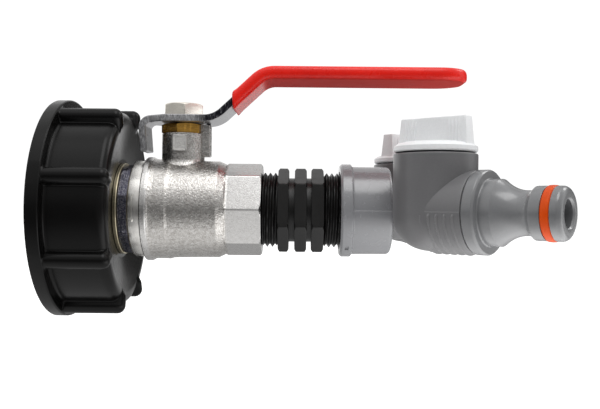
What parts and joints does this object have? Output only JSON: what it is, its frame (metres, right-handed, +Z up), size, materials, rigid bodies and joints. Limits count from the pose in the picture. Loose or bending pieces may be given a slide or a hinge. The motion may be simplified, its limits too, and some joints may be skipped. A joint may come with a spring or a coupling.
{
  "type": "tank outlet tap adapter",
  "caption": "Screw cap for a liquid tank's outlet carrying a lever ball valve, a nipple and a forked distributor with shut-off knobs and push-on hose connectors.",
  "frame": {"origin": "centre of the cap's open mouth, on the thread's axis", "axes": "+X along the main axis to the hose connectors, +Z up to the valve's lever, +Y away from the viewer"},
  "size_m": [0.1627, 0.1238, 0.087],
  "materials": {
    "cap_plastic": "moulded black, satin gloss",
    "rubber": "matte black",
    "brass": "turned, unplated",
    "nickel": "nickel plated, turned and rough cast",
    "ptfe": "plain white",
    "ball_chrome": "polished",
    "zinc_steel": "bright zinc plated sheet",
    "red_sleeve": "dipped soft plastic, glossy",
    "nut_nickel": "dull nickel",
    "nipple_plastic": "moulded black, satin",
    "nut_grey": "moulded mid grey, semi gloss",
    "body_grey": "moulded grey, satin",
    "connector_grey": "moulded grey, semi gloss",
    "knob_white": "moulded white, satin",
    "orange_ring": "smooth orange"
  },
  "bodies": {
    "adapter": {"coupling_cap": "cap_plastic", "tank_gasket": "rubber", "brass_bush": "brass", "valve_tail": "nickel", "valve_body": "nickel", "inlet_ball_seal": "ptfe", "outlet_ball_seal": "ptfe", "thrust_washer": "ptfe", "stem_packing": "ptfe", "gland_nut": "brass", "double_nipple": "nipple_plastic"},
    "lever": {"lever": "zinc_steel", "lever_sleeve": "red_sleeve", "lever_nut": "nut_nickel", "valve_stem": "brass", "valve_ball": "ball_chrome"},
    "union_nut": {"union_nut": "nut_grey"},
    "distributor": {"distributor_body": "body_grey", "union_gasket": "rubber", "near_ball_seal": "rubber", "far_ball_seal": "rubber", "near_connector": "connector_grey", "near_connector_ring": "rubber", "near_nose_ring": "orange_ring", "far_connector": "connector_grey", "far_connector_ring": "rubber", "far_nose_ring": "orange_ring"},
    "near_tap": {"near_knob": "knob_white", "near_knob_ring": "rubber", "near_ball": "ball_chrome"},
    "far_tap": {"far_knob": "knob_white", "far_knob_ring": "rubber", "far_ball": "ball_chrome"}
  },
  "joints": [
    {"name": "lever_turn", "type": "hinge", "parent": "adapter", "child": "lever", "pos_m": [0.0424, 0, 0.03], "axis": [0, 0, 1], "range_deg": [0, 90]},
    {"name": "nut_spin", "type": "hinge", "parent": "distributor", "child": "union_nut", "pos_m": [0.106, 0, 0], "axis": [1, 0, 0], "continuous": true},
    {"name": "distributor_swivel", "type": "hinge", "parent": "adapter", "child": "distributor", "pos_m": [0.106, 0, 0], "axis": [1, 0, 0], "range_deg": [-30, 30]},
    {"name": "near_tap_turn", "type": "hinge", "parent": "distributor", "child": "near_tap", "pos_m": [0.126, -0.0302, 0.018], "axis": [0, 0, 1], "range_deg": [-90, 0]},
    {"name": "far_tap_turn", "type": "hinge", "parent": "distributor", "child": "far_tap", "pos_m": [0.126, 0.0302, 0.018], "axis": [0, 0, 1], "range_deg": [0, 90]}
  ]
}
